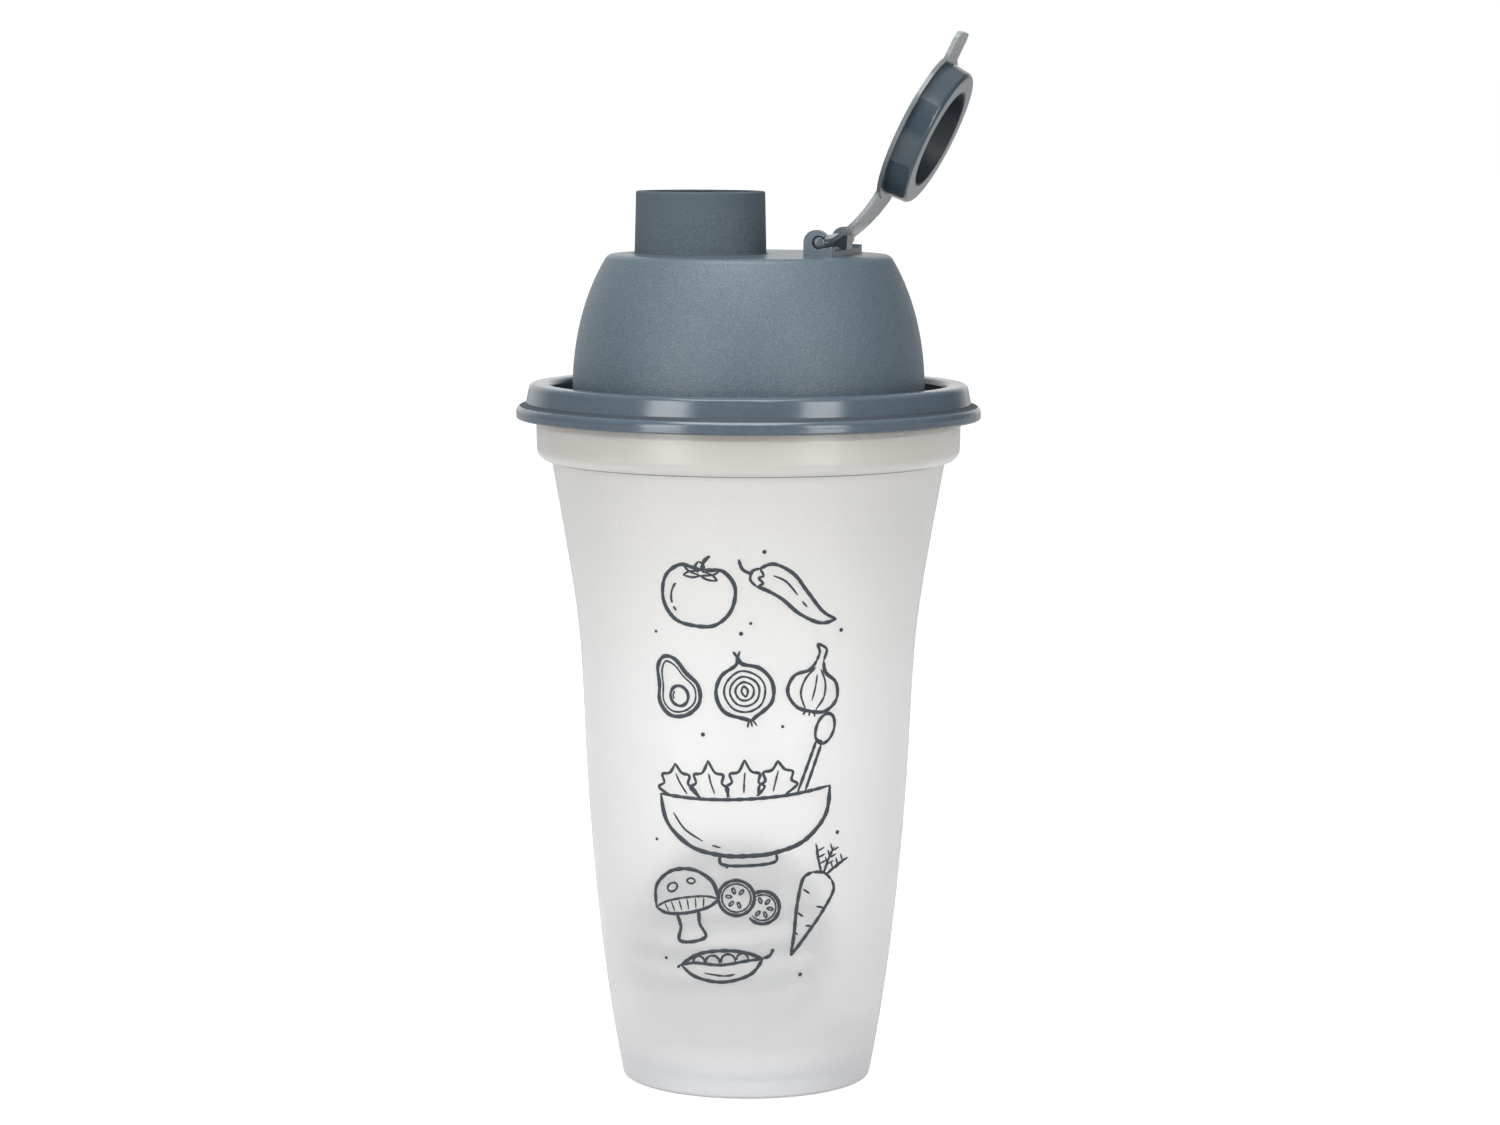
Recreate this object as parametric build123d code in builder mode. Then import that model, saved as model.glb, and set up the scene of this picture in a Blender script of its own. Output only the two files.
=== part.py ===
from build123d import *
from math import cos, pi, radians, sin, sqrt
import os

# Salad dressing shaker bottle, millimetres. Origin at the centre of the base, +Z up,
# +X from the spout towards the cap's hinge, +Y along the hinge pin and away from the front.

# Cup: a tulip of frosted polypropylene with a collar under its rim
cup_height = 149.6
base_radius = 26.8
waist_radius = 35.1
waist_height = 73.0
shoulder_radius = 42.4
body_low_shares = ((0.28, 0.42), (0.64, 0.78))
body_high_shares = ((0.43, 0.22), (0.71, 0.57), (0.86, 0.79))
collar_height = 15.2
collar_step = 3.1
collar_draft = 0.4
collar_corner = 2.8
cup_wall = 1.5
rim_wall = 1.8
rim_rounding = 0.5
heel_radius = 0.9
foot_width = 3.0
base_recess = 3.5
cup_floor = 1.5
floor_corner = 3.0

# Lid: an inverted channel that grips the cup's rim, a moat, and a dome with a spout
lid_clearance = 0.1
skirt_draft = 0.3
skirt_depth = 6.1
rim_roof = 1.4
rim_top_wall = 1.1
rim_draft = 0.9
rim_corner = 1.2
flange_height = 2.9
flange_reach = 3.7
flange_corner = 1.4
flange_edge = 0.4
plug_wall = 1.4
moat_depth = 7.8
moat_floor = 1.4
moat_width = 4.75
moat_corner = 0.8
dome_rise = 29.1
dome_straight = 3.8
dome_top_radius = 30.25
dome_side_shares = ((0.57, 0.24), (0.82, 0.60))
dome_edge = 2.0
dome_wall = 1.5

# Spout: a short tube on the dome, on the side away from the hinge
spout_offset = 10.8
spout_radius = 13.9
spout_draft = 0.3
spout_wall = 1.4
spout_height = 13.4
spout_lip = 0.4

# Hinge: two open ears on the dome that hold the cap's pin, and a sill between them
hinge_arm = 29.5
hinge_height = 3.1
pin_radius = 1.4
pin_clearance = 0.05
pin_end = 0.9
ear_radius = 2.6
ear_shift = 0.7
ear_inner = 11.6
ear_thickness = 2.4
ear_mouth = 2.3
jaw_reach = 2.9
jaw_top = 1.2
sill_start = 1.4
sill_end = 2.9
sill_height = 1.2

# Flip cap: a plate with a hollow ring that fits over the spout's rim, a thumb tab, a strap and the pin
open_angle = 116.0
cap_roof = 0.8
cap_gap = 0.1
ring_height = 6.0
ring_top_radius = 15.1
ring_draft = 0.5
ring_rounding = 1.0
plate_radius = 16.9
plate_thickness = 0.9
hollow_radius = 10.6
hollow_draft = 1.6
hollow_rounding = 0.3
groove_clearance = 0.4
groove_lead = 0.65
groove_lead_height = 3.3
plug_clearance = 0.2
plug_draft = 2.4
tab_width = 10.0
tab_reach = 5.4
tab_corner = 2.0
strap_width = 15.5
strap_root = 0.8
heel_gap = 0.1
gusset_width = 5.4
gusset_reach = 3.7
gusset_rise = 2.9
heel_start = 2.1
heel_reach = 3.4

# Whisk ball: one plastic tube wound on a sphere, between two solid end buttons
ball_radius = 23.0
ball_wire = 3.2
ball_shift = 4.0
ball_gap = 0.2
ball_turns = 7
turn_angle = 19.0
button_radius = 10.9
gap_samples = 36

# Worked out from the sizes above
origin_2d = (0, 0)
overrun = cup_wall
floor_top = base_recess + cup_floor
shoulder_height = cup_height - collar_height
collar_radius = shoulder_radius + collar_step
rim_radius = collar_radius + collar_draft
rim_inner_radius = rim_radius - rim_wall
rim_top = cup_height + rim_roof
skirt_radius = rim_radius + lid_clearance
skirt_foot_radius = skirt_radius + skirt_draft
rim_outer_radius = skirt_radius + rim_top_wall
flange_bottom = cup_height - skirt_depth
flange_top = flange_bottom + flange_height
flange_radius = skirt_foot_radius + flange_reach
flange_corners = (flange_edge, flange_corner, flange_edge)
plug_radius = rim_inner_radius - lid_clearance
moat_outer_radius = plug_radius - plug_wall
moat_bottom = rim_top - moat_depth
lid_bottom = moat_bottom - moat_floor
dome_foot_radius = moat_outer_radius - moat_width
dome_foot_height = moat_bottom + dome_straight
dome_top = cup_height + dome_rise
dome_ceiling = dome_top - dome_wall
spout_bore = spout_radius - spout_wall
spout_foot_radius = spout_radius + spout_draft
spout_top = dome_top + spout_height
hinge_x = hinge_arm - spout_offset
hinge_z = dome_top + hinge_height
ear_outer = ear_inner + ear_thickness
ring_top = spout_top + cap_gap + cap_roof - hinge_z
plate_back = ring_top - ring_height
plate_top = plate_back + plate_thickness
ring_foot_radius = ring_top_radius + ring_draft
ball_centre = floor_top + ball_gap + ball_radius


def between(low, high, shares):
    """Points from low to high, each at a share of the height and a share of the radius."""
    return [
        (low[0] + across * (high[0] - low[0]), low[1] + along * (high[1] - low[1]))
        for along, across in shares
    ]


def body_points(inset):
    """The cup's side from its foot to its shoulder, moved inwards by inset."""
    foot = (base_radius - inset, 0)
    waist = (waist_radius - inset, waist_height)
    shoulder = (shoulder_radius - inset, shoulder_height)
    low = between(foot, waist, body_low_shares)
    high = between(waist, shoulder, body_high_shares)
    return [foot, *low, waist, *high, shoulder]


def cavity_points():
    """The inside of the cup's side, starting at the floor."""
    foot, second, *rest = body_points(cup_wall)
    along = floor_top / second[1]
    start = (foot[0] + along * (second[0] - foot[0]), floor_top)
    return [start, second, *rest]


def dome_points(inset, top):
    """The dome's side from its foot up to the given height, moved inwards by inset."""
    foot = (dome_foot_radius - inset, dome_foot_height)
    crown = (dome_top_radius - inset, top)
    return [foot, *between(foot, crown, dome_side_shares), crown]


# Cup
with BuildPart() as cup:
    with BuildSketch(Plane.XZ):
        with BuildLine():
            side = Spline(*body_points(0))
            step = Line(side @ 1, (collar_radius, shoulder_height))
            collar = Line(step @ 1, (rim_radius, cup_height))
            Polyline(collar @ 1, (0, cup_height), origin_2d, side @ 0)
        make_face()
    revolve(axis=Axis.Z)
    corner = cup.edges().filter_by(GeomType.CIRCLE).group_by(Axis.Z)[-2].sort_by(SortBy.RADIUS)[-1]
    fillet(corner, radius=collar_corner)
    heel = cup.edges().filter_by(GeomType.CIRCLE).group_by(Axis.Z)[0]
    fillet(heel, radius=heel_radius)
    with BuildSketch(Plane.XZ):
        with BuildLine():
            inside = Spline(*cavity_points())
            ledge = (rim_inner_radius, shoulder_height + cup_wall)
            Polyline(inside @ 1, ledge, (rim_inner_radius, cup_height + overrun), (0, cup_height + overrun),
                     (0, floor_top), inside @ 0)
        make_face()
    revolve(axis=Axis.Z, mode=Mode.SUBTRACT)
    floor_edge = cup.edges().filter_by(GeomType.CIRCLE).filter_by_position(Axis.Z, floor_top, floor_top)
    fillet(floor_edge, radius=floor_corner)
    with BuildSketch(Plane.XY):
        Circle(base_radius - heel_radius - foot_width)
    extrude(amount=base_recess, mode=Mode.SUBTRACT)
    lip = cup.edges().filter_by(GeomType.CIRCLE).group_by(Axis.Z)[-1]
    fillet(lip, radius=rim_rounding)
cup.part.label = "cup"

# Lid
with BuildPart() as lid:
    with BuildSketch(Plane.XZ):
        with BuildLine():
            dome_side = Spline(*dome_points(0, dome_top))
            dome_lining = Spline(*dome_points(dome_wall, dome_ceiling))
            Line((0, dome_top), dome_side @ 1)
            Line((0, dome_top), (0, dome_ceiling))
            Line((0, dome_ceiling), dome_lining @ 1)
            outside = FilletPolyline(
                dome_side @ 0,
                (dome_foot_radius, moat_bottom),
                (moat_outer_radius, moat_bottom),
                (moat_outer_radius, rim_top),
                (rim_outer_radius, rim_top),
                (rim_outer_radius + rim_draft, flange_top),
                (flange_radius, flange_top),
                (flange_radius, flange_bottom),
                (skirt_foot_radius, flange_bottom),
                radius=[moat_corner, moat_corner, rim_corner, rim_corner, *flange_corners],
            )
            Polyline(
                outside @ 1,
                (skirt_radius, cup_height),
                (plug_radius, cup_height),
                (plug_radius, lid_bottom),
                (dome_foot_radius - dome_wall, lid_bottom),
                dome_lining @ 0,
            )
        make_face()
    revolve(axis=Axis.Z)
    crown_edge = lid.edges().filter_by(GeomType.CIRCLE).filter_by_position(Axis.Z, dome_top, dome_top)
    fillet(crown_edge, radius=dome_edge)
    with BuildSketch(Plane.XY.offset(dome_top)):
        with Locations((-spout_offset, 0)):
            Circle(spout_foot_radius)
    with BuildSketch(Plane.XY.offset(spout_top)):
        with Locations((-spout_offset, 0)):
            Circle(spout_radius)
    loft()
    with BuildSketch(Plane.XY.offset(spout_top)):
        with Locations((-spout_offset, 0)):
            Circle(spout_bore)
    extrude(amount=-(spout_height + dome_wall), mode=Mode.SUBTRACT)
    spout_edges = lid.edges().filter_by(GeomType.CIRCLE).filter_by_position(Axis.Z, spout_top, spout_top)
    fillet(spout_edges, radius=spout_lip)
    for ear_plane in (Plane.XZ.offset(ear_inner), Plane.XZ.offset(-ear_outer)):
        with BuildSketch(ear_plane):
            with Locations((hinge_x - ear_shift, hinge_z)):
                Circle(ear_radius)
            with Locations((hinge_x - ear_shift - ear_radius, dome_top)):
                Rectangle(2 * ear_radius, hinge_height, align=(Align.MIN, Align.MIN))
            with Locations((hinge_x, dome_top)):
                Rectangle(jaw_reach, hinge_height - jaw_top, align=(Align.MIN, Align.MIN))
            with Locations((hinge_x, hinge_z)):
                Circle(pin_radius + pin_clearance, mode=Mode.SUBTRACT)
                Rectangle(2 * ear_radius, ear_mouth, align=(Align.MIN, Align.CENTER), mode=Mode.SUBTRACT)
        extrude(amount=ear_thickness)
    with BuildSketch(Plane.XY.offset(dome_top)):
        with Locations((hinge_x + sill_start, 0)):
            Rectangle(sill_end - sill_start, 2 * ear_outer, align=(Align.MIN, Align.CENTER))
    extrude(amount=sill_height)
lid.part.label = "lid"

# Flip cap. Its plane stands at the hinge pin, x out along the cap and z to the side that is up when closed.
turned = radians(open_angle)
cap_plane = Plane(
    origin=(hinge_x, 0, hinge_z),
    x_dir=(-cos(turned), 0, sin(turned)),
    z_dir=(sin(turned), 0, cos(turned)),
)
ring_axis = Axis((cap_plane * Pos(hinge_arm, 0, 0)).position, cap_plane.z_dir)
section_plane = Plane(origin=cap_plane.origin, x_dir=cap_plane.x_dir, z_dir=-cap_plane.y_dir)
groove_roof = ring_top - cap_roof
groove_radius = spout_radius + groove_clearance
cap_plug_radius = spout_bore - plug_clearance
pin_plane = Plane(origin=(hinge_x, 0, hinge_z), x_dir=(0, 1, 0), z_dir=(1, 0, 0))
strap_mid = plate_back + plate_thickness / 2
plate_reach = hinge_arm - hollow_radius - hollow_draft
heel_bottom = dome_top + sill_height + heel_gap

with BuildPart() as flip_cap:
    with BuildSketch(cap_plane.offset(plate_back)):
        with Locations((hinge_arm, 0)):
            Circle(plate_radius)
    extrude(amount=plate_thickness)
    with BuildSketch(cap_plane.offset(plate_back)) as tab:
        with Locations((hinge_arm, 0)):
            Rectangle(plate_radius + tab_reach, tab_width, align=(Align.MIN, Align.CENTER))
        fillet(tab.vertices().group_by(Axis.X)[-1], radius=tab_corner)
    extrude(amount=plate_thickness)
    with BuildSketch(section_plane):
        with BuildLine():
            Polyline(
                (hinge_arm, plate_back),
                (hinge_arm + ring_foot_radius, plate_back),
                (hinge_arm + ring_top_radius, ring_top),
                (hinge_arm, ring_top),
                close=True,
            )
        make_face()
    revolve(axis=ring_axis)
    with BuildSketch(section_plane):
        with BuildLine():
            TangentArc((plate_reach, strap_mid), (0, strap_root), tangent=(-1, 0))
        trace(line_width=plate_thickness)
    extrude(amount=strap_width / 2, both=True)
    with BuildSketch(section_plane):
        with BuildLine():
            Polyline(
                (hinge_arm + cap_plug_radius - plug_draft, plate_back - plate_thickness),
                (hinge_arm + cap_plug_radius - plug_draft, plate_back),
                (hinge_arm + cap_plug_radius, groove_roof),
                (hinge_arm + groove_radius, groove_roof),
                (hinge_arm + groove_radius, plate_back + groove_lead_height),
                (hinge_arm + groove_radius + groove_lead, plate_back),
                (hinge_arm + groove_radius + groove_lead, plate_back - plate_thickness),
                close=True,
            )
        make_face()
    revolve(axis=ring_axis, mode=Mode.SUBTRACT)
    with BuildSketch(section_plane):
        with BuildLine():
            Polyline(
                (hinge_arm, plate_top),
                (hinge_arm + hollow_radius - hollow_draft, plate_top),
                (hinge_arm + hollow_radius, ring_top),
                (hinge_arm, ring_top),
                close=True,
            )
        make_face()
    revolve(axis=ring_axis, mode=Mode.SUBTRACT)
    top_rims = flip_cap.edges().filter_by(GeomType.CIRCLE).group_by(ring_axis)[-1].sort_by(SortBy.RADIUS)
    fillet(top_rims[-1], radius=ring_rounding)
    fillet(top_rims[0], radius=hollow_rounding)
    with BuildSketch(pin_plane) as pin_section:
        Rectangle(2 * ear_outer, pin_radius, align=(Align.CENTER, Align.MIN))
        fillet(pin_section.vertices().group_by(Axis.Y)[-1], radius=pin_end)
    revolve(axis=Axis(pin_plane.origin, pin_plane.x_dir))
    with BuildSketch(Plane.XZ):
        with BuildLine():
            Polyline(
                (hinge_x, hinge_z),
                (hinge_x + heel_start, heel_bottom),
                (hinge_x + heel_reach, heel_bottom),
                (hinge_x + gusset_reach, hinge_z + gusset_rise),
                close=True,
            )
        make_face()
    extrude(amount=gusset_width / 2, both=True)
flip_cap.part.label = "flip_cap"

# Whisk ball. The tube's line lies on a sphere and climbs by one turn angle of latitude a turn.
wire_radius = ball_wire / 2
line_radius = ball_radius - wire_radius
lowest = -ball_turns * turn_angle / 2


def coil_point(turn):
    """The point on the tube's line after a number of turns, about the ball's centre."""
    latitude = radians(lowest + turn_angle * turn)
    angle = 2 * pi * turn
    return Vector(cos(latitude) * cos(angle), cos(latitude) * sin(angle), sin(latitude)) * line_radius


def coil_tangent(turn):
    """The direction of the tube's line after a number of turns."""
    latitude = radians(lowest + turn_angle * turn)
    angle = 2 * pi * turn
    climb = radians(turn_angle) / (2 * pi)
    around = Vector(-sin(angle), cos(angle), 0) * cos(latitude)
    upward = Vector(-sin(latitude) * cos(angle), -sin(latitude) * sin(angle), cos(latitude)) * climb
    return (around + upward).normalized()


def biarc_middle(start, start_way, end, end_way):
    """Where two arcs meet that leave start and reach end along the given directions, and the way there."""
    chord = end - start
    ways = start_way + end_way
    a = 2 * (1 - start_way.dot(end_way))
    b = 2 * chord.dot(ways)
    reach = (sqrt(b * b + 4 * a * chord.dot(chord)) - b) / (2 * a)
    first = start + start_way * reach
    second = end - end_way * reach
    return (first + second) / 2, (second - first).normalized()


button_face = line_radius * sin(radians(-lowest)) - wire_radius
button_shoulder = sqrt(ball_radius**2 - button_radius**2)
button_middle = button_radius / 2
button_crown = (button_middle, sqrt(ball_radius**2 - button_middle**2))
quarters = [count / 4 for count in range(4 * ball_turns + 1)]
samples = [count / gap_samples for count in range(gap_samples * ball_turns + 1)]
least_gap = min(
    (coil_point(one) - coil_point(other)).length
    for one in samples
    for other in samples
    if other - one > 1 / 2
) - ball_wire
print(f"whisk ball: least gap between turns {least_gap:.2f} mm")
centre = Vector(-ball_shift, 0, ball_centre)

with BuildPart() as mixing_ball:
    with BuildLine() as coil:
        start = centre + coil_point(quarters[0])
        Line(start - coil_tangent(quarters[0]) * ball_wire, start)
        for turn, following in zip(quarters, quarters[1:]):
            near, far = centre + coil_point(turn), centre + coil_point(following)
            middle, way = biarc_middle(near, coil_tangent(turn), far, coil_tangent(following))
            TangentArc(near, middle, tangent=coil_tangent(turn))
            TangentArc(middle, far, tangent=way)
        end = centre + coil_point(quarters[-1])
        Line(end, end + coil_tangent(quarters[-1]) * ball_wire)
    with BuildSketch(Plane(origin=coil.line @ 0, z_dir=coil.line % 0)):
        Circle(wire_radius)
    sweep(path=coil.line)
    coil_length = sum(piece.length for piece in coil.line.edges())
    tube_share = mixing_ball.part.volume / (pi * wire_radius**2 * coil_length)
    print(f"whisk ball: swept volume over section times length {tube_share:.4f}")
    for way in (-1, 1):
        with BuildSketch(Plane(origin=centre, x_dir=(1, 0, 0), z_dir=(0, -way, 0))):
            with BuildLine():
                pole = Line((0, button_face), (0, ball_radius))
                edge = Line((button_radius, button_face), (button_radius, button_shoulder))
                Line(pole @ 0, edge @ 0)
                ThreePointArc(edge @ 1, button_crown, pole @ 1)
            make_face()
        revolve(axis=Axis(centre, (0, 0, 1)))
mixing_ball.part.label = "mixing_ball"

os.makedirs("parts", exist_ok=True)
for piece in (cup, lid, flip_cap, mixing_ball):
    export_step(piece.part, f"parts/{piece.part.label}.step")
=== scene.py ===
from collections import namedtuple
from math import cos, pi, radians, sin, sqrt

import bmesh
import bpy
from mathutils import Matrix, Vector
from mathutils.bvhtree import BVHTree


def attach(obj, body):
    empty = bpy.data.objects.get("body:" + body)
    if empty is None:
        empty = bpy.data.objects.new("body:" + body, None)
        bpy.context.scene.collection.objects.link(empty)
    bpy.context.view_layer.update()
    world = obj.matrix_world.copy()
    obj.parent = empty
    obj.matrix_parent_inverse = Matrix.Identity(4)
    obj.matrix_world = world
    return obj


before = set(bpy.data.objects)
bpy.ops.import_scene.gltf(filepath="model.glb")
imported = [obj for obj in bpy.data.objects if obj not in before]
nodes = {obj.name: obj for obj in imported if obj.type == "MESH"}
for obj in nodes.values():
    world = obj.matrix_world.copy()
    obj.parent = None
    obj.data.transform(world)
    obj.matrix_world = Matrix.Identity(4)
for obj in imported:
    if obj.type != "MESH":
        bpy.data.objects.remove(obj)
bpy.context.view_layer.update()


scene = bpy.context.scene

# Camera: a little to the right of the front, looking slightly down. Lengths are in metres

AZIMUTH = radians(14.5)
PITCH = radians(6.25)
ROLL = radians(0.2)
CAMERA_DISTANCE = 0.9033
CAMERA_HEIGHT = 0.211
SENSOR_MM = 36
PHOTO_PIXELS = 1500
FOCAL_PIXELS = 4200
SHIFT_PIXELS = 2

toward = Vector((sin(AZIMUTH), -cos(AZIMUTH), 0))
across = Vector((cos(AZIMUTH), sin(AZIMUTH), 0))
ahead = -toward * cos(PITCH) - Vector((0, 0, sin(PITCH)))
above = across.cross(ahead)
camera_data = bpy.data.cameras.new("camera")
camera_data.sensor_width = SENSOR_MM
camera_data.lens = SENSOR_MM * FOCAL_PIXELS / PHOTO_PIXELS
camera_data.shift_x = SHIFT_PIXELS / PHOTO_PIXELS
camera_data.clip_start = 0.01
camera_data.clip_end = 50
camera = bpy.data.objects.new("camera", camera_data)
scene.collection.objects.link(camera)
x_axis = across * cos(ROLL) + above * sin(ROLL)
y_axis = above * cos(ROLL) - across * sin(ROLL)
turn = Matrix((x_axis, y_axis, -ahead)).transposed().to_4x4()
eye = toward * CAMERA_DISTANCE + Vector((0, 0, CAMERA_HEIGHT))
camera.matrix_world = Matrix.Translation(eye) @ turn
scene.camera = camera
scene.view_settings.view_transform = "Standard"


# Helpers for node materials

class Field:
    """A value or colour that varies over a surface. Values take part in sums and products."""

    def __init__(self, tree, socket):
        self.tree = tree
        self.socket = socket

    def __add__(self, other):
        return calculate("ADD", self, other)

    def __radd__(self, other):
        return calculate("ADD", other, self)

    def __sub__(self, other):
        return calculate("SUBTRACT", self, other)

    def __rsub__(self, other):
        return calculate("SUBTRACT", other, self)

    def __mul__(self, other):
        return calculate("MULTIPLY", self, other)

    def __abs__(self):
        return calculate("ABSOLUTE", self)


def add(tree, kind, **settings):
    """A node of that kind with its properties set."""
    node = tree.nodes.new(kind)
    for key, value in settings.items():
        setattr(node, key, value)
    return node


def feed(value, slot):
    """The input takes that field, or that plain number or colour."""
    if isinstance(value, Field):
        value.tree.links.new(value.socket, slot)
    else:
        slot.default_value = value


def calculate(operation, *values, clamp=False):
    """A Math node on fields or plain numbers, at least one of them a field."""
    tree = next(v.tree for v in values if isinstance(v, Field))
    node = add(tree, "ShaderNodeMath", operation=operation, use_clamp=clamp)
    for slot, value in zip(node.inputs, values):
        feed(value, slot)
    return Field(tree, node.outputs[0])


def larger(first, second):
    """The larger of the two at each point."""
    return calculate("MAXIMUM", first, second)


def length(first, second):
    """The length of a vector with those two components."""
    return calculate("SQRT", first * first + second * second)


def step_up(value, low, high):
    """0 below low, 1 above high and smooth between."""
    node = add(value.tree, "ShaderNodeMapRange", interpolation_type="SMOOTHSTEP")
    feed(value, node.inputs["Value"])
    feed(low, node.inputs["From Min"])
    feed(high, node.inputs["From Max"])
    return Field(value.tree, node.outputs["Result"])


def step_down(value, low, high):
    """1 below low, 0 above high and smooth between."""
    return 1.0 - step_up(value, low, high)


def near(value, middle, inner, outer):
    """1 within inner of the middle, 0 beyond outer and smooth between."""
    return step_down(abs(value - middle), inner, outer)


def noise(point, scale, detail=2.0, roughness=0.5):
    """Soft random values around 0.5, finer with a larger scale."""
    node = add(point.tree, "ShaderNodeTexNoise")
    feed(scale, node.inputs["Scale"])
    feed(detail, node.inputs["Detail"])
    feed(roughness, node.inputs["Roughness"])
    feed(point, node.inputs["Vector"])
    return Field(point.tree, node.outputs["Fac"])


def blend(share, first, second, data_type="RGBA", socket_type="RGBA"):
    """A colour that goes from the first to the second as the share goes from 0 to 1."""
    node = add(share.tree, "ShaderNodeMix", data_type=data_type)
    feed(share, node.inputs["Factor"])
    ends = [s for s in node.inputs if s.type == socket_type and s.name in ("A", "B")]
    for slot, value in zip(ends, (first, second)):
        feed(value, slot)
    return Field(share.tree, next(s for s in node.outputs if s.type == socket_type))


def blend_values(share, first, second):
    """A value that goes from the first to the second as the share goes from 0 to 1."""
    return blend(share, first, second, "FLOAT", "VALUE")


def bump(shader, height, distance, strength=1.0):
    """At full strength the surface seems to rise by that distance in metres at a height of 1."""
    node = add(height.tree, "ShaderNodeBump")
    feed(distance, node.inputs["Distance"])
    feed(strength, node.inputs["Strength"])
    feed(height, node.inputs["Height"])
    feed(Field(height.tree, node.outputs["Normal"]), shader.inputs["Normal"])


def object_point(tree):
    """The surface's own coordinates in metres."""
    return Field(tree, add(tree, "ShaderNodeTexCoord").outputs["Object"])


Place = namedtuple("Place", "point x y z radius")


def place_on(tree):
    """Where a point of the surface is, in metres. The radius is how far the cup's axis is."""
    point = object_point(tree)
    split = add(tree, "ShaderNodeSeparateXYZ")
    feed(point, split.inputs[0])
    x, y, z = (Field(tree, socket) for socket in split.outputs)
    return Place(point, x, y, z, length(x, y))


def light_path(tree):
    """Three fields that are 1 for rays from the camera, through a surface and off a mirror."""
    node = add(tree, "ShaderNodeLightPath")
    names = ("Is Camera Ray", "Is Transmission Ray", "Is Glossy Ray")
    return [Field(tree, node.outputs[name]) for name in names]


def rgb(red, green, blue):
    """An sRGB colour of 0 to 255 as a linear colour."""
    def linear(value):
        value /= 255
        return value / 12.92 if value <= 0.04045 else ((value + 0.055) / 1.055) ** 2.4
    return linear(red), linear(green), linear(blue), 1.0


def new_material(name):
    """A material with only its Principled shader and output left."""
    material = bpy.data.materials.new(name)
    material.use_nodes = True
    tree = material.node_tree
    shader = next(n for n in tree.nodes if n.type == "BSDF_PRINCIPLED")
    return material, tree, shader


def dress(obj, material):
    """The object shows that material alone."""
    obj.data.materials.clear()
    obj.data.materials.append(material)


# Materials. Heights and radii are in metres

PLASTIC_IOR = 1.49
# A smoother cup than this renders with speckles on its collar
CUP_ROUGHNESS = 0.277
CUP_TRANSMISSION = 0.7
SPOUT_X = -0.0108
HINGE_X = 0.0187
HINGE_HEIGHT = 0.1818
# The open cap's plate rises at this angle from the hinge, and its ring's middle is this far along
CAP_RISE = radians(64)
RING_FROM_HINGE = 0.0295


def cup_material():
    """Frosted polypropylene: textured up to the shoulder, smooth and warmer on the collar."""
    material, tree, shader = new_material("cup_frosted")
    at = place_on(tree)

    # Zones: foot, upper body, collar with its two edges (painted lighter), and the crease under the
    # collar (painted shade)
    foot = step_down(at.z, 0.004, 0.013)
    upper_body = step_up(at.z, 0.085, 0.13)
    collar = step_up(at.z, 0.131, 0.136)
    lower_edge_lit = near(at.z, 0.1352, 0.0006, 0.0016)
    upper_edge_lit = step_up(at.z, 0.1425, 0.1455)
    crease_shade = near(at.z, 0.13445, 0.0002, 0.0003) * near(at.radius, 0.0426, 0.0004, 0.0006)
    textured = step_down(at.z, 0.1285, 0.1325)

    # Patterns
    grain = noise(at.point, 1500)
    cloud = noise(at.point, 28, 3.0)
    mottle = step_up(noise(at.point, 2600, 2.0, 0.6), 0.42, 0.62)
    mottle = mottle * step_up(at.z, 0.105, 0.126) * textured

    tone = blend(cloud, rgb(245, 245, 245), rgb(249, 249, 248))
    tone = blend(foot, tone, rgb(218, 219, 222))
    tone = blend(upper_body, tone, rgb(239, 238, 235))
    tone = blend(collar, tone, rgb(240, 236, 231))
    # Painted light: both edges of the collar are painted lighter, the lower one for the light on
    # its rounded corner, the upper one against the shadow of the lid's flange
    tone = blend(larger(lower_edge_lit, upper_edge_lit), tone, rgb(246, 244, 241))
    tone = blend(mottle, tone, rgb(233, 232, 229))
    # Painted shade: a dark line in the crease under the collar, where the collar's ledge shades the
    # body
    tone = blend(crease_shade, tone, rgb(92, 94, 108))
    feed(tone, shader.inputs["Base Color"])
    feed(CUP_ROUGHNESS + textured * 0.004 + grain * 0.012, shader.inputs["Roughness"])
    feed(PLASTIC_IOR, shader.inputs["IOR"])
    feed(0.3, shader.inputs["Sheen Weight"])
    feed(0.5, shader.inputs["Sheen Roughness"])

    # Milky zones let less light through: the foot, the lowest 30 mm, the upper body and the edges
    milky = step_down(at.z, 0.005, 0.013) * 0.3
    milky += step_down(at.z, 0.012, 0.03) * 0.09
    milky += step_up(at.z, 0.1, 0.126) * step_down(at.z, 0.1335, 0.1345) * 0.12
    milky += lower_edge_lit * 0.16
    milky += step_up(at.z, 0.1432, 0.146) * 0.5
    feed(CUP_TRANSMISSION - milky, shader.inputs["Transmission Weight"])
    bump(shader, grain, 0.00006, textured * 0.5)
    return material


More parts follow.
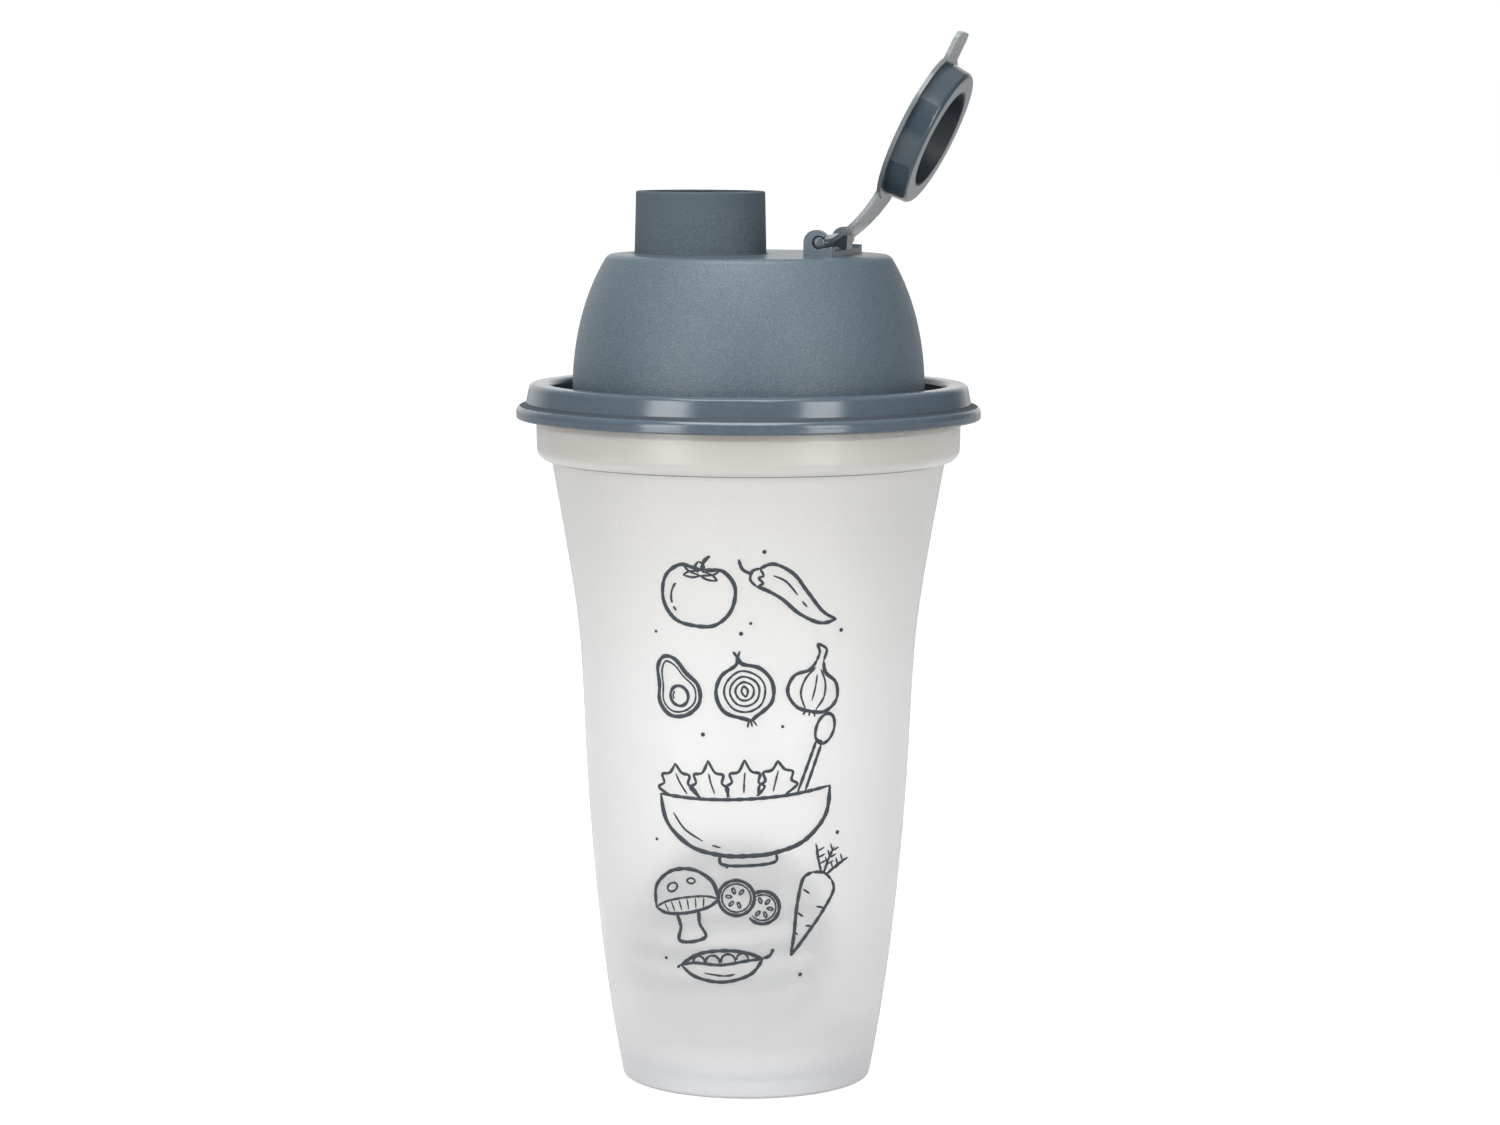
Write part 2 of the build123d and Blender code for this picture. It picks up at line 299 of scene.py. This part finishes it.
def lid_material():
    """Slate grey polypropylene: fine texture on the dome and spout, gloss on the rim."""
    material, tree, shader = new_material("lid_slate")
    at = place_on(tree)
    from_spout = length(at.x - SPOUT_X, at.y)

    # Zones: rim and its lowest corner (painted shade), dome, spout, the spout's bore (painted
    # shade) and the deck around it
    rim = step_up(at.radius, 0.0405, 0.0425)
    within = 1.0 - rim
    shaded_corner = near(at.z, 0.14655, 0.00028, 0.0004) * rim
    dome = within * step_down(at.z, 0.1778, 0.1792)
    spout = step_down(from_spout, 0.0143, 0.0149) * step_up(at.z, 0.1782, 0.1788)
    shaded_bore = step_down(from_spout, 0.0127, 0.0131) * step_up(at.z, 0.174, 0.176)
    deck = step_up(at.z, 0.1774, 0.1785) * step_up(from_spout, 0.0145, 0.0152)
    textured_spout = spout * step_down(at.z, 0.186, 0.1905)
    textured = calculate("ADD", dome, textured_spout * 0.8, clamp=True)

    # Patterns: grain and specks of the texture, slow changes of colour, lines turned round the rim
    grain = noise(at.point, 3300, 2.0, 0.6)
    cells = add(tree, "ShaderNodeTexVoronoi")
    feed(2900, cells.inputs["Scale"])
    feed(at.point, cells.inputs["Vector"])
    speck = Field(tree, cells.outputs["Distance"])
    cloud = noise(at.point, 60, 3.0)
    scuff = noise(at.point, 700, 4.0, 0.7)
    stretch = add(tree, "ShaderNodeMapping")
    feed((60, 60, 2600), stretch.inputs["Scale"])
    feed(at.point, stretch.inputs["Vector"])
    lines = noise(Field(tree, stretch.outputs[0]), 1.0, 3.0)

    tone = blend(step_up(scuff, 0.35, 0.7), rgb(70, 82, 92), rgb(75, 87, 96))
    # Painted shade: a dark band on the rim's lowest corner, where the rim wall meets the flange
    tone = blend(shaded_corner, tone, rgb(46, 56, 64))
    tone = blend(spout, tone, blend(cloud, rgb(62, 74, 82), rgb(68, 80, 88)))
    tone = blend(dome, tone, blend(cloud, rgb(71, 85, 94), rgb(80, 94, 103)))
    # Painted highlight and painted shade: pale flecks are painted glints on the grain's facets,
    # dark flecks painted shade in its pits
    glints = step_up(grain, 0.5, 0.66) * (textured * 0.21)
    tone = blend(glints, tone, rgb(132, 146, 154))
    pit_shade = step_down(grain, 0.36, 0.48) * (textured * 0.24)
    tone = blend(pit_shade, tone, rgb(44, 54, 62))
    # Painted shade: the inside of the spout's bore is painted darker
    tone = blend(shaded_bore, tone, rgb(40, 48, 58))
    feed(tone, shader.inputs["Base Color"])

    matt = 0.55 - dome * (grain * 0.24) + spout * 0.25
    gloss = 0.1 + lines * 0.14 + shaded_corner * 0.5
    feed(blend_values(larger(rim, deck * 0.6), matt, gloss), shader.inputs["Roughness"])
    feed(PLASTIC_IOR, shader.inputs["IOR"])
    depth = textured * 0.5 + within * 0.1
    bump(shader, (grain + speck * 0.8) * depth + lines * rim * 0.2, 0.00013)
    return material


def cap_material():
    """Glossy slate of the flip cap, with painted shade in the hollow inside its ring, and a lighter
    grey painted on the thin strap and plate for the light that shines through them.
    """
    material, tree, shader = new_material("cap_slate")
    at = place_on(tree)
    east, up = at.x - HINGE_X, at.z - HINGE_HEIGHT
    along = east * cos(CAP_RISE) + up * sin(CAP_RISE)
    from_ring = length(along - RING_FROM_HINGE, at.y)

    # Zones: the strap's root, the thin strap and plate (painted lighter for the light through
    # them), and the hollow inside the ring (painted shade)
    root = step_down(along, 0.0035, 0.0075)
    thin_lit_through = step_up(from_ring, 0.0154, 0.0186) * (1.0 - root * 0.8)
    shaded_hollow = step_down(from_ring, 0.0108, 0.0113)

    cloud = noise(at.point, 90, 3.0)
    wear = noise(at.point, 700, 3.0)
    tone = blend(cloud, rgb(52, 63, 71), rgb(58, 69, 77))
    # Painted light: the thin strap and plate are painted a lighter grey for the light that shines
    # through them, less so at the strap's thick root
    tone = blend(thin_lit_through, tone, blend(cloud, rgb(122, 128, 130), rgb(134, 139, 140)))
    # Painted shade: the hollow inside the ring is painted nearly black
    tone = blend(shaded_hollow, tone, rgb(18, 30, 40))
    feed(tone, shader.inputs["Base Color"])
    feed(0.08 + wear * 0.05 + thin_lit_through * 0.3 + shaded_hollow * 0.4, shader.inputs["Roughness"])
    feed(PLASTIC_IOR, shader.inputs["IOR"])
    bump(shader, wear, 0.00001, 0.1)
    return material


def cloudy_material(name, scale, tones, rough, depth):
    """One slowly changing colour, with the roughness and the height following the same pattern."""
    material, tree, shader = new_material(name)
    cloud = noise(object_point(tree), scale, 3.0)
    feed(blend(cloud, *tones), shader.inputs["Base Color"])
    feed(rough + cloud * 0.2, shader.inputs["Roughness"])
    bump(shader, cloud, *depth)
    return material


ball_tones = rgb(82, 94, 114), rgb(94, 106, 126)
ink_tones = rgb(34, 43, 50), rgb(46, 56, 64)
ball_material = cloudy_material("ball_slate", 120, ball_tones, 0.3, (0.0001, 0.2))
ink_material = cloudy_material("print_ink", 900, ink_tones, 0.42, (0.00002, 0.3))

looks = {
    "cup": cup_material(),
    "lid": lid_material(),
    "flip_cap": cap_material(),
    "mixing_ball": ball_material,
}
for name, material in looks.items():
    dress(nodes[name], material)
    even = nodes[name].modifiers.new("even_shading", "WEIGHTED_NORMAL")
    even.mode = "FACE_AREA"
    even.keep_sharp = True


# The print: strokes drawn flat in millimetres, then laid on the cup. Each motif yields its
# lines around its own middle, with their half widths

def curve_through(points, closed=False, steps=8):
    """A smooth line through the points."""
    count = len(points)
    line = []
    spans = count if closed else count - 1
    for i in range(spans):
        if closed:
            p0, p1, p2, p3 = (points[(i + k) % count] for k in (-1, 0, 1, 2))
        else:
            p0, p1, p2, p3 = (points[min(max(i + k, 0), count - 1)] for k in (-1, 0, 1, 2))
        for s in range(steps):
            t = s / steps
            line.append(tuple(
                0.5 * (
                    2 * b + (c - a) * t
                    + (2 * a - 5 * b + 4 * c - d) * t * t
                    + (3 * b - a - 3 * c + d) * t ** 3
                )
                for a, b, c, d in zip(p0, p1, p2, p3)
            ))
    line.append(tuple(points[0] if closed else points[-1]))
    return line


def oval(x, y, rx, ry, start=0.0, end=360.0, tilt=0.0, steps=40):
    """Part of an ellipse, with its angles in degrees."""
    line = []
    for i in range(steps + 1):
        a = radians(start + (end - start) * i / steps)
        u, v = rx * cos(a), ry * sin(a)
        c, s = cos(radians(tilt)), sin(radians(tilt))
        line.append((x + u * c - v * s, y + u * s + v * c))
    return line


def tomato():
    yield curve_through([(-1, 5.2), (-4.5, 5.6), (-7.4, 2.6), (-7.2, -2.2), (-4.2, -5.6), (0, -6.3),
                         (4.4, -5.5), (7.2, -2.0), (7.3, 2.8), (4.4, 5.7), (1, 5.2)]), 0.36
    for a in (100, 158, 205, 335, 22):
        c, s = cos(radians(a)), sin(radians(a))
        tip = (4.0 * c, 4.6 + 2.4 * s)
        one_side = (2.2 * c - 0.9 * s, 4.6 + 1.4 * s + 0.6 * c)
        other_side = (2.2 * c + 0.9 * s, 4.6 + 1.4 * s - 0.6 * c)
        yield curve_through([(-0.5 * s, 4.6 + 0.5 * c), one_side, tip]), 0.2
        yield curve_through([(0.5 * s, 4.6 - 0.5 * c), other_side, tip]), 0.2
    yield curve_through([(0, 5), (0.3, 7), (1.4, 8.4)]), 0.34
    yield oval(-0.6, -0.6, 5.0, 4.6, 150, 205), 0.2
    yield oval(-0.6, -0.6, 5.0, 4.6, 214, 226), 0.2


def chilli():
    yield curve_through([(-6.6, 5.4), (-3.5, 6.0), (0.4, 3.4), (3.0, -0.8), (6.0, -5.4),
                         (9.0, -7.6)]), 0.34
    yield curve_through([(-7.6, 1.6), (-5.6, 0.6), (-2.6, -1.6), (0.8, -5.2), (5.2, -7.8),
                         (9.0, -7.6)]), 0.34
    yield curve_through([(-6.6, 5.4), (-6.0, 3.8), (-7.0, 3.4), (-6.3, 2.2), (-7.6, 1.6)]), 0.24
    yield curve_through([(-6.6, 5.4), (-8.2, 5.0), (-8.8, 3.2), (-7.6, 1.6)]), 0.28
    yield curve_through([(-8.4, 4.4), (-10.2, 5.6), (-10.8, 7.8)]), 0.36
    yield curve_through([(-4.0, 3.6), (-1.4, 2.0), (0.8, -1.2)]), 0.18
    yield curve_through([(1.6, -2.6), (2.6, -4.0)]), 0.18


def garlic():
    yield curve_through([(-0.8, 5.2), (-2.0, 2.8), (-5.4, 0.8), (-6.2, -3.0), (-3.6, -6.0),
                         (0, -6.6), (3.8, -6.0), (6.2, -2.8), (5.2, 0.9), (2.0, 2.8),
                         (0.9, 5.4)]), 0.34
    yield curve_through([(-0.8, 5.2), (-0.5, 7.2), (-1.3, 8.8), (0.3, 8.6), (1.2, 7.8),
                         (0.9, 5.4)]), 0.28
    yield curve_through([(-0.6, 3.6), (-2.6, 0.6), (-3.0, -3.0), (-1.2, -6.2)]), 0.2
    yield curve_through([(0.6, 3.4), (2.4, 0.6), (2.8, -2.8), (1.4, -6.0)]), 0.2
    yield curve_through([(0.0, 2.0), (0.2, -1.0), (0.0, -4.2)]), 0.16
    for x in (-1.0, 0.0, 1.0):
        yield curve_through([(x, -6.7), (x * 1.5, -7.7)]), 0.18


def onion():
    yield curve_through([(0, 8.6), (-0.9, 6.8), (-5.0, 4.8), (-7.2, 0.6), (-6.0, -4.2),
                         (-1.2, -7.0), (0, -7.6), (1.2, -7.0), (6.0, -4.2), (7.2, 0.6),
                         (5.0, 4.8), (0.9, 6.8), (0, 8.6)]), 0.36
    for k in (0.78, 0.56, 0.35):
        yield curve_through([(0, 6.6 * k), (-4.8 * k, 4.2 * k), (-6.6 * k, 0), (-4.6 * k, -5.0 * k),
                             (0, -6.8 * k), (4.6 * k, -5.0 * k), (6.6 * k, 0),
                             (4.8 * k, 4.2 * k)], True), 0.19
    yield curve_through([(0, 1.2), (-0.8, 0), (0, -1.4), (0.8, 0)], True), 0.2
    for x in (-1.2, 0.0, 1.2):
        yield curve_through([(x * 0.4, -7.5), (x, -9.2)]), 0.18
    yield curve_through([(0, 8.6), (-0.8, 10.4)]), 0.24
    yield curve_through([(0, 8.6), (0.9, 10.2)]), 0.24


def bowl():
    yield curve_through([(-17, 1.2), (-15.8, -4.4), (-11.0, -9.0), (-5.0, -10.8), (0, -11.1),
                         (5.0, -10.8), (11.0, -9.0), (15.8, -4.4), (17, 1.2)]), 0.42
    yield curve_through([(-17, 1.2), (-9, 0.3), (0, 0.0), (9, 0.3), (17, 1.2)]), 0.32
    yield curve_through([(-5.4, -10.9), (-5.0, -12.6), (0, -13.0), (5.0, -12.6), (5.4, -10.9)]), 0.3
    yield curve_through([(-14.4, -2.4), (-12.2, -5.6), (-8.6, -8.0)]), 0.18
    yield curve_through([(-6.8, -8.8), (-5.2, -9.3)]), 0.18
    for x, lean in ((-11.5, -2.0), (-6.0, -0.8), (-0.4, 0.6), (5.2, 1.4)):
        top = 6.6 + 1.2 * cos(x)
        left = [(x - 2.6, 0.5), (x - 3.8 + lean, 2.4), (x - 2.6 + lean, 3.4),
                (x - 2.9 + lean, 5.0), (x - 1.2 + lean, 5.4), (x + lean, top)]
        right = [(x + 2.6, 0.5), (x + 3.6 + lean, 2.2), (x + 2.5 + lean, 3.2),
                 (x + 2.8 + lean, 4.8), (x + 1.2 + lean, 5.4), (x + lean, top)]
        yield curve_through(left), 0.26
        yield curve_through(right), 0.26
        yield curve_through([(x + 0.2, 1.2), (x + lean * 0.6, 3.4), (x + lean, 5.2)]), 0.16
    yield [(10.2, 0.6), (14.6, 10.6)], 0.3
    yield [(11.7, 0.7), (15.7, 10.0)], 0.3
    yield oval(16.4, 12.4, 1.9, 3.0, 0, 360, -24), 0.3
    yield curve_through([(14.6, 10.6), (15.1, 10.2), (15.7, 10.0)]), 0.2


def carrot():
    yield curve_through([(-2.6, 6.4), (-4.0, 4.2), (-2.8, -1.6), (-1.0, -7.0), (0.3, -11.6)]), 0.34
    yield curve_through([(2.4, 6.4), (3.8, 4.4), (3.0, -1.0), (1.6, -6.6), (0.3, -11.6)]), 0.34
    yield curve_through([(-2.6, 6.4), (0, 7.2), (2.4, 6.4)]), 0.3
    for x, y, w in ((-3.1, 2.4, 1.8), (3.2, 0.4, -2.0), (-2.2, -2.6, 1.6), (1.9, -4.2, -1.3),
                    (-1.1, -6.6, 1.0)):
        yield curve_through([(x, y), (x + w, y - 0.4)]), 0.18
    for lean in (-1, 0, 1):
        tip = (lean * 3.8, 13.0 - abs(lean) * 1.4)
        yield curve_through([(lean * 0.6, 7.0), (lean * 2.6 - 0.2, 9.8), tip]), 0.26
        for share in (0.35, 0.6, 0.85):
            x, y = lean * 0.6 + (tip[0] - lean * 0.6) * share, 7.0 + (tip[1] - 7.0) * share
            yield curve_through([(x, y), (x - 1.1, y + 1.3)]), 0.18
            yield curve_through([(x, y), (x + 1.1, y + 1.2)]), 0.18


def mushroom():
    yield curve_through([(-7.6, -0.4), (-6.6, 4.2), (-3.2, 6.8), (0.4, 7.4), (4.2, 6.4), (7.2, 3.4),
                         (7.8, -0.6)]), 0.36
    yield curve_through([(-7.6, -0.4), (-5.0, -2.0), (0, -2.6), (5.2, -2.0), (7.8, -0.6)]), 0.32
    yield curve_through([(-7.6, -0.4), (-4.6, 0.6), (0.2, 0.9), (5.0, 0.5), (7.8, -0.6)]), 0.2
    yield curve_through([(-2.6, -2.4), (-2.2, -5.4), (-3.2, -8.4), (0, -9.2), (3.2, -8.4),
                         (2.4, -5.4), (2.8, -2.4)]), 0.34
    for x in (-5.2, -3.4, -1.4, 0.6, 2.6, 4.6):
        yield curve_through([(x, 0.5), (x * 0.86, -1.9)]), 0.14
    yield oval(-2.4, 3.6, 1.3, 0.9, 0, 360, 20), 0.2
    yield oval(2.4, 4.4, 0.9, 0.6, 0, 360, -10), 0.18


def slices():
    for x, y, r, low, high in ((-4.2, 0, 5.6, 0, 360), (4.4, -1.6, 5.2, -132, 138)):
        yield oval(x, y, r, r, low, high), 0.34
        yield oval(x, y, r - 1.1, r - 1.1, low, high), 0.16
        for a in range(0, 360, 60):
            if low < a < high or low < a - 360 < high:
                c, s = cos(radians(a)), sin(radians(a))
                yield oval(x + 2.4 * c, y + 2.4 * s, 0.95, 0.42, 0, 360, a, 14), 0.15


def avocado():
    yield curve_through([(0, 8.4), (-2.8, 6.6), (-4.2, 2.2), (-6.0, -2.2), (-4.4, -6.6), (0, -8.2),
                         (4.4, -6.6), (6.0, -2.2), (4.2, 2.2), (2.8, 6.6)], True), 0.38
    yield curve_through([(0, 7.0), (-2.0, 5.2), (-3.2, 1.6), (-4.8, -2.4), (-3.4, -5.8), (0, -7.0),
                         (3.4, -5.8), (4.8, -2.4), (3.2, 1.6), (2.0, 5.2)], True), 0.17
    yield oval(0, -2.8, 2.5, 2.7), 0.3
    yield oval(-0.2, -2.7, 1.5, 1.6, 110, 190), 0.16


def pea_pod():
    yield curve_through([(-10.6, 1.4), (-7.0, -1.8), (0, -3.6), (7.2, -2.2), (10.8, 1.6)]), 0.34
    yield curve_through([(-10.6, 1.4), (-6.6, 1.8), (0, 0.9), (6.4, 1.4), (10.8, 1.6)]), 0.3
    yield curve_through([(-10.6, 1.4), (-5.6, 4.0), (0.2, 4.6), (6.0, 3.8), (10.8, 1.6)]), 0.34
    for x, y, r in ((-5.6, 2.0, 1.5), (-2.0, 1.7, 1.8), (2.0, 1.8, 1.8), (5.6, 2.1, 1.4)):
        yield oval(x, y, r, r, -10, 190), 0.22
    yield curve_through([(10.8, 1.6), (12.6, 2.2), (13.6, 3.8)]), 0.34
    yield curve_through([(-10.6, 1.4), (-11.8, 0.6)]), 0.24
    yield curve_through([(-4.4, -1.0), (0.4, -2.0), (3.4, -1.8)]), 0.18


# Each motif with the place of its middle in mm (to the right of the print's middle, up from the
# base), its tilt in degrees and its scale
MOTIFS = (
    (tomato, (-10.6, 109.2), -8, 1.04),
    (chilli, (9.6, 110.4), 6, 1.0),
    (avocado, (-15.6, 89.6), 24, 0.8),
    (onion, (-0.6, 89.0), 12, 0.84),
    (garlic, (14.6, 90.4), -12, 0.92),
    (bowl, (-0.4, 66.0), 3, 1.1),
    (mushroom, (-13.4, 43.4), 12, 0.96),
    (slices, (0.6, 44.2), -10, 0.68),
    (carrot, (14.0, 42.8), -24, 1.02),
    (pea_pod, (-5.4, 29.2), 6, 0.84),
)
DOTS = (
    (0.6, 103.4), (-1.4, 101.2), (-20.2, 101.0), (20.6, 101.4), (7.4, 81.4), (-9.4, 79.6),
    (-20.2, 56.4), (20.2, 58.0), (-4.2, 51.4), (11.6, 27.6), (-18.0, 30.6), (3.4, 118.6),
)

# Ink heights over the cup in metres: a stroke's rim lies in the wall, its top stands proud
INK_RIM = -0.00003
INK_SIDE = 0.00005
INK_TOP = 0.00007
RIDGE = ((1.0, INK_RIM), (0.8, INK_SIDE), (0.0, INK_TOP), (-0.8, INK_SIDE), (-1.0, INK_RIM))

# Other sizes of the print, in mm
STROKE_STEP = 0.6
CLOSED_GAP = 0.02
STROKE_SCALE, STROKE_EXTRA = 1.12, 0.04
DOT_SIZES = (0.38, 0.5)
DOT_SIDES = 14

cup_tree = BVHTree.FromObject(nodes["cup"], bpy.context.evaluated_depsgraph_get())


def cup_radius(angle, height):
    """The cup's outer radius in metres at that angle and height, from the solid itself."""
    outward = Vector((sin(angle), -cos(angle), 0))
    hit = cup_tree.ray_cast(outward * 0.2 + Vector((0, 0, height)), -outward)[0]
    return Vector((hit.x, hit.y, 0)).length


def on_cup(u, v, lift):
    """The cup's side at u mm right of the print's middle and v mm up, lifted by lift metres."""
    height = v / 1000
    angle = AZIMUTH + u / 1000 / cup_radius(AZIMUTH, height)
    r = cup_radius(angle, height) + lift
    return Vector((r * sin(angle), -r * cos(angle), height))


def apart(first, second):
    """How far two flat points are apart."""
    return sqrt((second[0] - first[0]) ** 2 + (second[1] - first[1]) ** 2)


def evened(line):
    """The line with more points, under two of a stroke's steps apart."""
    points = [line[0]]
    for (x0, y0), (x1, y1) in zip(line, line[1:]):
        pieces = max(1, int(apart((x0, y0), (x1, y1)) / STROKE_STEP))
        for k in range(1, pieces + 1):
            points.append((x0 + (x1 - x0) * k / pieces, y0 + (y1 - y0) * k / pieces))
    return points


def lay_stroke(mesh, line, half):
    """One ink stroke: a low ridge along the line, half mm to each side, thinner at its ends."""
    points = evened(line)
    last = len(points) - 1
    closed = apart(points[0], points[-1]) < CLOSED_GAP
    rows = []
    for i, (u, v) in enumerate(points):
        before, after = points[max(i - 1, 0)], points[min(i + 1, last)]
        if closed and i in (0, last):
            before, after = points[last - 1], points[1]
        du, dv = after[0] - before[0], after[1] - before[1]
        size = sqrt(du * du + dv * dv) or 1.0
        nu, nv = -dv / size, du / size
        # The pen's pressure varies a little along the stroke
        width = half * (1 + 0.12 * sin(2.3 * u + 1.7 * v) + 0.06 * sin(5.1 * v - 3.1 * u))
        if not closed:
            from_end = min(i, last - i) / max(1, min(3, last / 2))
            width *= min(1.0, 0.45 + 0.55 * from_end)
        rows.append([
            mesh.verts.new(on_cup(u + nu * width * side, v + nv * width * side, lift))
            for side, lift in RIDGE
        ])
    for one, other in zip(rows, rows[1:]):
        for k in range(len(RIDGE) - 1):
            mesh.faces.new((one[k], other[k], other[k + 1], one[k + 1]))
    if not closed:
        mesh.faces.new(rows[0])
        mesh.faces.new(rows[-1][::-1])


def lay_dot(mesh, u, v, size):
    """One round ink dot with a radius of size mm."""
    middle = mesh.verts.new(on_cup(u, v, INK_TOP))
    turns = [2 * pi * k / DOT_SIDES for k in range(DOT_SIDES)]
    inner, outer = (
        [
            mesh.verts.new(on_cup(u + size * share * cos(a), v + size * share * sin(a), lift))
            for a in turns
        ]
        for share, lift in ((0.8, INK_SIDE), (1.0, INK_RIM))
    )
    for k in range(DOT_SIDES):
        after = (k + 1) % DOT_SIDES
        mesh.faces.new((middle, inner[k], inner[after]))
        mesh.faces.new((inner[k], outer[k], outer[after], inner[after]))


ink = bmesh.new()
for motif, (u0, v0), tilt, scale in MOTIFS:
    c, s = cos(radians(tilt)), sin(radians(tilt))
    for line, half in motif():
        placed = [(u0 + scale * (x * c - y * s), v0 + scale * (x * s + y * c)) for x, y in line]
        lay_stroke(ink, placed, half * STROKE_SCALE + STROKE_EXTRA)
for index, (u, v) in enumerate(DOTS):
    lay_dot(ink, u, v, DOT_SIZES[index % 2])
bmesh.ops.recalc_face_normals(ink, faces=ink.faces)
ink_mesh = bpy.data.meshes.new("print_ink")
ink.to_mesh(ink_mesh)
ink.free()
for face in ink_mesh.polygons:
    face.use_smooth = True
print_ink = bpy.data.objects.new("print_ink", ink_mesh)
scene.collection.objects.link(print_ink)
dress(print_ink, ink_material)
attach(print_ink, "cup")


# Floor, just under the foot so that the two don't share a plane

FLOOR_HEIGHT = -0.0001


def floor_material():
    """White for the eye and for reflections, grey for light, and clear from below."""
    material, tree, shader = new_material("floor")
    tree.nodes.remove(shader)
    output = next(n for n in tree.nodes if n.type == "OUTPUT_MATERIAL")
    camera_ray, see_through, glossy = light_path(tree)
    seen = larger(calculate("ADD", camera_ray, see_through, clamp=True), glossy * 0.4)
    cloud = noise(object_point(tree), 3)
    diffuse = add(tree, "ShaderNodeBsdfDiffuse")
    feed(blend(cloud, (0.44, 0.44, 0.44, 1), (0.46, 0.46, 0.46, 1)), diffuse.inputs["Color"])
    white = add(tree, "ShaderNodeEmission")
    feed(seen * 0.82, white.inputs["Strength"])
    both = add(tree, "ShaderNodeAddShader")
    one_sided = add(tree, "ShaderNodeMixShader")
    back = add(tree, "ShaderNodeNewGeometry").outputs["Backfacing"]
    clear = add(tree, "ShaderNodeBsdfTransparent")
    for source, target in (
        (diffuse.outputs[0], both.inputs[0]),
        (white.outputs[0], both.inputs[1]),
        (back, one_sided.inputs[0]),
        (both.outputs[0], one_sided.inputs[1]),
        (clear.outputs[0], one_sided.inputs[2]),
        (one_sided.outputs[0], output.inputs["Surface"]),
    ):
        tree.links.new(source, target)
    return material


floor_mesh = bpy.data.meshes.new("floor")
corners = [(x, y, FLOOR_HEIGHT) for x, y in ((-6, -6), (6, -6), (6, 12), (-6, 12))]
floor_mesh.from_pydata(corners, [], [(0, 1, 2, 3)])
floor = bpy.data.objects.new("floor", floor_mesh)
scene.collection.objects.link(floor)
dress(floor, floor_material())


# Room: white where the camera looks into it, and a dim studio for the light on the object

world = bpy.data.worlds.new("studio")
world.use_nodes = True
scene.world = world
sky = world.node_tree
background = next(n for n in sky.nodes if n.type == "BACKGROUND")
background.inputs["Color"].default_value = (1, 1, 1, 1)
way = add(sky, "ShaderNodeTexCoord").outputs["Generated"]


def glow_towards(direction, low, high, level):
    """That level of light from one side of the room, fading out around it."""
    side = add(sky, "ShaderNodeVectorMath", operation="DOT_PRODUCT")
    sky.links.new(way, side.inputs[0])
    side.inputs[1].default_value = direction
    return step_up(Field(sky, side.outputs["Value"]), low, high) * level


camera_ray, see_through, glossy = light_path(sky)
spread = 1.0 - glossy
behind_left = -toward * cos(radians(8)) - across * sin(radians(8))
backdrop = glow_towards(-toward, 0.45, 0.8, 1.0) * spread
backdrop += glow_towards(behind_left, 0.6, 0.9, 1.0) * glossy
overhead = glow_towards((0, 0, 1), 0.3, 0.9, 0.6)
left_glow = glow_towards(-across, 0.2, 0.9, 0.2)
both_sides = larger(glow_towards(-across, 0.1, 0.9, 1.0), glow_towards(across, 0.1, 0.9, 1.1))
glow = larger(larger(backdrop, overhead), larger(left_glow, both_sides * spread))

# Mirrored rays see a darker room with brighter glows than the rays that light the object
dark_level = 0.14 - glossy * 0.09
glow_level = 0.5 + glossy * 0.4
room = dark_level + glow * glow_level
white_room = calculate("ADD", camera_ray, see_through, clamp=True)
feed(larger(room, white_room), background.inputs["Strength"])


# Lights

AIM = Vector((0, 0, 0.13))


def softbox(name, azimuth, height, distance, width, tall, watts):
    """A rectangular light aimed at the bottle, at azimuth degrees to the camera's right."""
    data = bpy.data.lights.new(name, "AREA")
    data.shape = "RECTANGLE"
    data.size = width
    data.size_y = tall
    data.energy = watts
    light = bpy.data.objects.new(name, data)
    scene.collection.objects.link(light)
    angle = AZIMUTH + radians(azimuth)
    place = Vector((sin(angle), -cos(angle), 0)) * distance + Vector((0, 0, height))
    turned = (AIM - place).to_track_quat("-Z", "Y").to_matrix().to_4x4()
    light.matrix_world = Matrix.Translation(place) @ turned


softbox("left_box", azimuth=-42, height=0.3, distance=1.3, width=0.48, tall=1.1, watts=12)
softbox("right_box", azimuth=38, height=0.3, distance=1.3, width=0.45, tall=1.1, watts=10.5)
softbox("top_box", azimuth=-15, height=1.3, distance=0.4, width=0.9, tall=0.9, watts=17)
